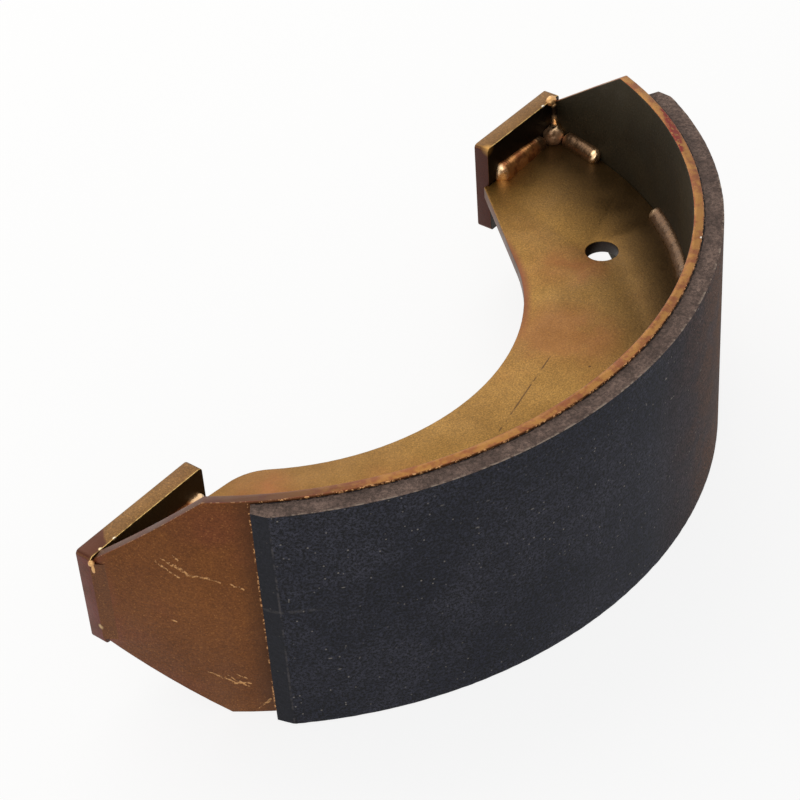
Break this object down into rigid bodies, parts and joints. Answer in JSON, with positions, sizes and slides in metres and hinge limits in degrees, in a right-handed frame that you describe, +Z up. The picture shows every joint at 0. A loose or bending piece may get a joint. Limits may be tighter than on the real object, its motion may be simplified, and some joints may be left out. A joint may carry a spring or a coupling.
{
  "type": "brake shoe",
  "caption": "Welded drum brake shoe: rolled table with tapered ends on a flat web, a flat abutment plate at each end and a bonded friction lining.",
  "frame": {"origin": "middle of the bounding box in plan, at the level of the table's lower side edge, which it lies on", "axes": "+X from the toe plate to the heel plate; +Z up along the drum's axis; +Y from the lining towards the drum's axis, square to both abutment faces"},
  "size_m": [0.2972, 0.1476, 0.0905],
  "materials": {
    "passivated_table": "rolled steel, zinc plated and yellow passivated, dulled to brown with fine gold speckle",
    "passivated_web": "sheet steel, zinc plated and yellow passivated, satin gold",
    "passivated_plate": "flat bar, zinc plated and yellow passivated, satin gold and brown",
    "friction_lining": "moulded friction material, matt charcoal with fine pale flecks",
    "weld_metal": "weld metal under the same passivation, coppery, brighter at the bead ends"
  },
  "bodies": {
    "root": {"table": "passivated_table", "web": "passivated_web", "toe_plate": "passivated_plate", "heel_plate": "passivated_plate", "lining": "friction_lining", "web_beads_upper": "weld_metal", "web_beads_lower": "weld_metal", "toe_beads_upper": "weld_metal", "toe_beads_lower": "weld_metal", "heel_beads_upper": "weld_metal", "heel_beads_lower": "weld_metal"}
  },
  "joints": []
}
